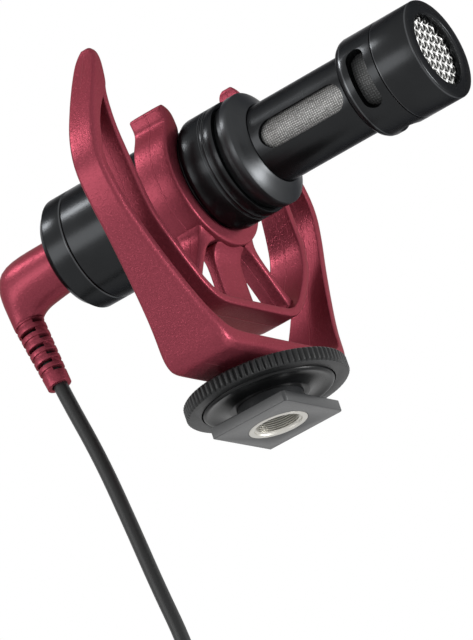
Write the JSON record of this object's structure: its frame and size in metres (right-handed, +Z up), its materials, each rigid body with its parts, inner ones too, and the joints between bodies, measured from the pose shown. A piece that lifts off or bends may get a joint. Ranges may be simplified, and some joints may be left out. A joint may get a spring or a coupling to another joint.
{
  "type": "smartphone microphone",
  "caption": "Short directional microphone in a lyre-shaped spring shock mount on a camera shoe foot with a ribbed lock ring, with a right-angle plug and a cable to a phone.",
  "frame": {"origin": "centre of the shoe foot's bottom face, on the axis of the threaded insert", "axes": "+X forward along the microphone towards its grille, +Y across the lyre to the left, +Z up from the foot to the lyre horns"},
  "size_m": [0.1228, 0.0704, 0.1543],
  "materials": {
    "burgundy_plastic": "satin, fine grain",
    "black_anodised": "satin black anodised",
    "silver_mesh": "woven wire mesh",
    "fine_mesh": "fine grey mesh",
    "dark_plastic": "matte, fine grain",
    "insert_steel": "turned",
    "screw_steel": "zinc plated",
    "grey_foam": "open foam",
    "dark_felt": "acoustic cloth",
    "soft_rubber": "matte",
    "capsule_metal": "satin",
    "board_green": "solder mask",
    "part_black": "moulded",
    "contact_gold": "gold plated",
    "lead_wire": "insulated wire",
    "cable_black": "satin jacket",
    "tie_black": "hook and loop band"
  },
  "bodies": {
    "mount": {"shoe_foot": "dark_plastic", "thread_insert": "insert_steel", "base_screw": "screw_steel", "base_nut": "screw_steel", "lyre_yoke": "burgundy_plastic"},
    "clamp": {"clamp_plate": "dark_plastic"},
    "ring": {"lock_ring": "dark_plastic"},
    "cradle": {"mic_clip": "burgundy_plastic", "lyre_strap": "burgundy_plastic"},
    "mic": {"head_cap": "black_anodised", "front_mesh": "silver_mesh", "head_foam": "grey_foam", "slot_ring": "black_anodised", "slot_mesh": "fine_mesh", "neck_tube": "black_anodised", "neck_mesh": "fine_mesh", "neck_felt": "dark_felt", "flange_collar": "black_anodised", "front_barrel": "black_anodised", "body_core": "black_anodised", "rear_barrel": "black_anodised", "rear_cap": "black_anodised", "capsule": "capsule_metal", "capsule_holder": "soft_rubber", "capsule_leads": "lead_wire", "preamp_board": "board_green", "board_parts": "part_black", "jack_socket": "part_black", "jack_contacts": "contact_gold"},
    "plug": {"plug_contacts": "contact_gold", "plug_insulators": "part_black", "plug_body": "burgundy_plastic", "strain_relief": "burgundy_plastic", "cable": "cable_black", "cable_coil": "cable_black", "cable_tie": "tie_black", "far_relief": "burgundy_plastic", "far_plug_body": "burgundy_plastic", "far_contacts": "contact_gold", "far_insulators": "part_black"}
  },
  "joints": [
    {"name": "suspension", "type": "slide", "parent": "mount", "child": "cradle", "axis": [0, 0, 1], "range_m": [-0.002, 0.002], "stiffness_N_per_m": 600, "springref_m": 0.0009, "deforming": ["lyre_strap"]},
    {"name": "mic_roll", "type": "hinge", "parent": "cradle", "child": "mic", "pos_m": [0, 0, 0.04725], "axis": [1, 0, 0], "range_deg": [-90, 90]},
    {"name": "plug_swivel", "type": "hinge", "parent": "mic", "child": "plug", "pos_m": [-0.0286, 0, 0.04725], "axis": [1, 0, 0], "continuous": true},
    {"name": "clamp_travel", "type": "slide", "parent": "mount", "child": "clamp", "axis": [0, 0, 1], "range_m": [-0.0024, 0]},
    {"name": "ring_turn", "type": "hinge", "parent": "clamp", "child": "ring", "pos_m": [0, 0, 0.0068], "axis": [0, 0, 1], "range_deg": [-580, 0]}
  ],
  "couplings": [
    {"joint": "ring_turn", "follows": "clamp_travel", "rad_per_m": 4188.8}
  ]
}
